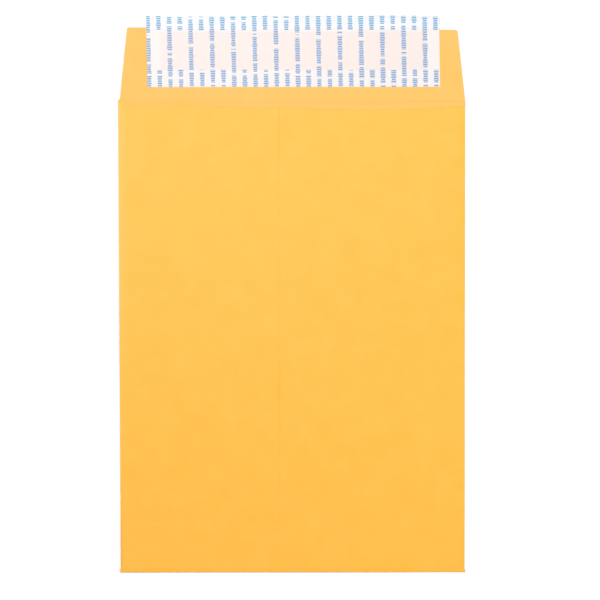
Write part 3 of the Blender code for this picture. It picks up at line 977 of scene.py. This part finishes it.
# %% Dress, thicken and place each piece
PIECES = [
    (sheet, (inner_kraft, outer_kraft), PAPER, "envelope_sheet", "kraft_paper"),
    (liner, (liner_face, liner_back), LINER_PAPER, "release_liner", "liner_paper"),
    (band, (hot_melt, hot_melt), ADHESIVE, "adhesive_strip", "adhesive"),
    (seam_gum, (dextrin, dextrin), GUM, "centre_seam_glue", "seam_gum"),
    (flap_gum, (dextrin, dextrin), GUM, "bottom_flap_glue", "seam_gum"),
]
for piece, faces, thickness, stood_for, slot in PIECES:
    for material in faces:
        piece.data.materials.append(material)
    thicken(piece, thickness)
    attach(piece, "root")
    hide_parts(stood_for)

# %% [markdown]
# ## Floor, light and camera
#
# The envelope is shown as in a catalogue, from straight above on pure white. The floor is a matt
# white sheet. More light would bleach the paper along with it, so the floor adds a little light of
# its own for the camera only: it reads as white and still keeps the envelope's soft shadow. A large
# soft box hangs beyond the flap, which is why the paper is lightest there, a small lamp fills in
# from the right, and the pale room does the rest.

# %% What the camera sees of the surroundings
def seen_directly(tree):
    """1 for what the camera sees itself, in a mirror or through glass, and 0 for light."""
    ray = node(tree, "ShaderNodeLightPath", {})
    straight = {0: ray.outputs["Is Camera Ray"], 1: ray.outputs["Is Glossy Ray"]}
    seen = node(tree, "ShaderNodeMath", straight, operation="MAXIMUM")
    through = {0: seen, 1: ray.outputs["Is Transmission Ray"]}
    return node(tree, "ShaderNodeMath", through, operation="MAXIMUM")


# %% The floor
FLOOR_SIZE = 6.0
FLOOR_DROP = 0.1 * MM
GLOW_FROM, GLOW_FULL = 0.21, 0.65
GLOW_LEAST = 0.16
deselect_all()
bpy.ops.mesh.primitive_plane_add(size=FLOOR_SIZE, location=(0, 0, -FLOOR_DROP))
floor = bpy.context.object
floor.name = "floor"
# Matt white studio paper: no highlight at all, and a glow that grows away from the envelope.
white, tree, shader = new_material("matt white studio paper", 0.9)
shader.inputs["Base Color"].default_value = colour("F4F4F4")
shader.inputs["Specular IOR Level"].default_value = 0
shader.inputs["Emission Color"].default_value = (1, 1, 1, 1)
place = node(tree, "ShaderNodeTexCoord", {}).outputs["Object"]
away = node(tree, "ShaderNodeVectorMath", {0: place}, operation="LENGTH").outputs["Value"]
growing = {VALUE: away, FROM_MIN: GLOW_FROM, FROM_MAX: GLOW_FULL, TO_MIN: GLOW_LEAST, TO_MAX: 1.0}
own_light = node(tree, "ShaderNodeMapRange", growing)
glow = node(tree, "ShaderNodeMath", {0: seen_directly(tree), 1: own_light}, operation="MULTIPLY")
tree.links.new(glow.outputs[0], shader.inputs["Emission Strength"])
floor.data.materials.append(white)
print("floor, m:", FLOOR_SIZE, "square")

# %% The room
ROOM_LIGHT = 0.25
world = bpy.data.worlds.new("pale room")
world.use_nodes = True
bpy.context.scene.world = world
room = world.node_tree
room.nodes["Background"].inputs["Color"].default_value = (1, 1, 1, 1)
brightness = {VALUE: seen_directly(room), TO_MIN: ROOM_LIGHT, TO_MAX: 1.0}
strength = node(room, "ShaderNodeMapRange", brightness)
room.links.new(strength.outputs[0], room.nodes["Background"].inputs["Strength"])
print("room light:", ROOM_LIGHT)

# %% The soft box and the side fill
LIGHT_AIM = Vector((0, 30 * MM, 0))


def soft_light(name, place, energy, size):
    """An area lamp, two thirds as high as it is wide, that looks at the envelope."""
    bpy.ops.object.light_add(type="AREA", location=place)
    lamp = bpy.context.object
    lamp.name = name
    lamp.data.shape = "RECTANGLE"
    lamp.data.size = size
    lamp.data.size_y = size * 2 / 3
    lamp.data.energy = energy
    lamp.rotation_euler = (LIGHT_AIM - lamp.location).to_track_quat("-Z", "Y").to_euler()
    print(name, "at", place, "with", energy, "W")


soft_light("soft_box", place=(-0.16, 0.4, 1.1), energy=10.15, size=0.9)
soft_light("side_fill", place=(0.9, -0.4, 0.85), energy=4.9, size=0.35)

# %% The camera, a long lens almost straight above
CAMERA_PLACE = (0.00544, 0.07369, 1.5)
CAMERA_TILT = -1.862
CAMERA_ROLL = -0.060
LENS = 136.3
bpy.ops.object.camera_add(location=CAMERA_PLACE)
camera = bpy.context.object
camera.rotation_euler = (math.radians(CAMERA_TILT), 0, math.radians(CAMERA_ROLL))
camera.data.lens = LENS
bpy.context.scene.camera = camera
bpy.context.scene.view_settings.view_transform = "Standard"
print("camera:", LENS, "mm lens,", CAMERA_PLACE[2], "m up")
